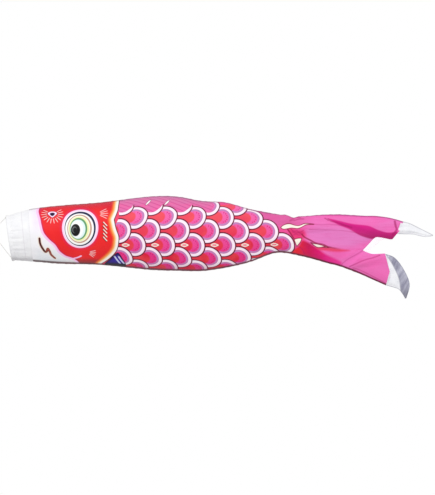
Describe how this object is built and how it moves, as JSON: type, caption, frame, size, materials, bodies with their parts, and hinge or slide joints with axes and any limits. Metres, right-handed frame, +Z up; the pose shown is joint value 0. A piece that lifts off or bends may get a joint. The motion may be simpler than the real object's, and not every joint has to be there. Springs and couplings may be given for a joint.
{
  "type": "carp streamer",
  "caption": "Printed cloth carp sleeve with an open hooped mouth, a two-leg bridle on a swivel snap hook, and a forked tail that streams in the wind.",
  "frame": {"origin": "inside the bend of the snap hook, on its swivel axis, where the pole's eye bears", "axes": "+X back along the swivel axis towards the tail, +Z up towards the fish's back, so the fish's left side faces -Y"},
  "size_m": [1.0895, 0.1242, 0.242],
  "materials": {
    "steel": "satin",
    "hoop_wire": "satin",
    "bridle_cord": "matte",
    "white_cloth": "satin",
    "face_print": "satin",
    "scale_print": "satin",
    "tail_print": "satin"
  },
  "bodies": {
    "hook": {"hook_body": "steel", "gate_pin": "steel", "gate_spring": "steel"},
    "gate": {"hook_gate": "steel"},
    "swivel": {"swivel_eye": "steel"},
    "ring": {"bridle_ring": "steel"},
    "bridle": {"bridle_knot": "bridle_cord", "upper_bridle_cord": "bridle_cord", "lower_bridle_cord": "bridle_cord"},
    "mouth_and_head": {"mouth_hoop": "hoop_wire", "hoop_joiner": "steel", "upper_hoop_knot": "bridle_cord", "lower_hoop_knot": "bridle_cord", "mouth_hem_left": "white_cloth", "mouth_hem_right": "white_cloth", "mouth_band_left": "white_cloth", "mouth_band_right": "white_cloth", "head_panel_left": "face_print", "head_panel_right": "face_print"},
    "fore_body": {"shoulder_fold": "scale_print", "fore_body_panel_left": "scale_print", "fore_body_panel_right": "scale_print"},
    "rear_body": {"waist_fold": "scale_print", "rear_body_panel_left": "scale_print", "rear_body_panel_right": "scale_print"},
    "tail_root": {"tail_fold": "tail_print", "tail_root_panel_left": "tail_print", "tail_root_panel_right": "tail_print"},
    "upper_lobe": {"upper_lobe_fold": "tail_print", "upper_lobe_panel_left": "tail_print", "upper_lobe_panel_right": "tail_print", "upper_white_tip_left": "white_cloth", "upper_white_tip_right": "white_cloth"},
    "lower_lobe": {"lower_lobe_fold": "tail_print", "lower_lobe_panel_left": "tail_print", "lower_lobe_panel_right": "tail_print", "lower_white_tip_left": "white_cloth", "lower_white_tip_right": "white_cloth"}
  },
  "joints": [
    {"name": "gate_hinge", "type": "hinge", "parent": "hook", "child": "gate", "pos_m": [0.0215, 0, -0.0012], "axis": [0, 1, 0], "range_deg": [0, 24], "stiffness_Nm_per_rad": 0.02, "springref_deg": -5.73},
    {"name": "swivel_spin", "type": "hinge", "parent": "hook", "child": "swivel", "pos_m": [0.0266, 0, 0], "axis": [1, 0, 0], "continuous": true},
    {"name": "bridle_pitch", "type": "hinge", "parent": "swivel", "child": "ring", "pos_m": [0.0386, 0, 0], "axis": [0, 1, 0], "range_deg": [-30, 80], "stiffness_Nm_per_rad": 11, "springref_deg": -0.54},
    {"name": "bridle_yaw", "type": "hinge", "parent": "ring", "child": "bridle", "pos_m": [0.0436, 0, 0], "axis": [0, 0, 1], "range_deg": [-60, 60]},
    {"name": "mouth_turn", "type": "hinge", "parent": "bridle", "child": "mouth_and_head", "pos_m": [0.0941, 0, -0.013], "axis": [-0.1392, 0, 0.9903], "range_deg": [-30, 30], "stiffness_Nm_per_rad": 0.05},
    {"name": "shoulder_sway", "type": "hinge", "parent": "mouth_and_head", "child": "fore_body", "pos_m": [0.3531, 0, -0.013], "axis": [0, 0, 1], "range_deg": [-16, 16], "stiffness_Nm_per_rad": 0.05, "deforming": ["shoulder_fold"]},
    {"name": "waist_droop", "type": "hinge", "parent": "fore_body", "child": "rear_body", "pos_m": [0.5321, 0, -0.013], "axis": [0, 1, 0], "range_deg": [-12, 14], "stiffness_Nm_per_rad": 1, "springref_deg": -2.86, "deforming": ["waist_fold"]},
    {"name": "tail_sway", "type": "hinge", "parent": "rear_body", "child": "tail_root", "pos_m": [0.7341, 0, -0.013], "axis": [0, 0, 1], "range_deg": [-28, 28], "stiffness_Nm_per_rad": 0.02, "deforming": ["tail_fold"]},
    {"name": "upper_lobe_flap", "type": "hinge", "parent": "tail_root", "child": "upper_lobe", "pos_m": [0.9121, 0, -0.013], "axis": [0, 0, 1], "range_deg": [-35, 35], "stiffness_Nm_per_rad": 0.005, "deforming": ["upper_lobe_fold"]},
    {"name": "lower_lobe_flap", "type": "hinge", "parent": "tail_root", "child": "lower_lobe", "pos_m": [0.9121, 0, -0.013], "axis": [0, 0, 1], "range_deg": [-35, 35], "stiffness_Nm_per_rad": 0.005, "deforming": ["lower_lobe_fold"]}
  ]
}
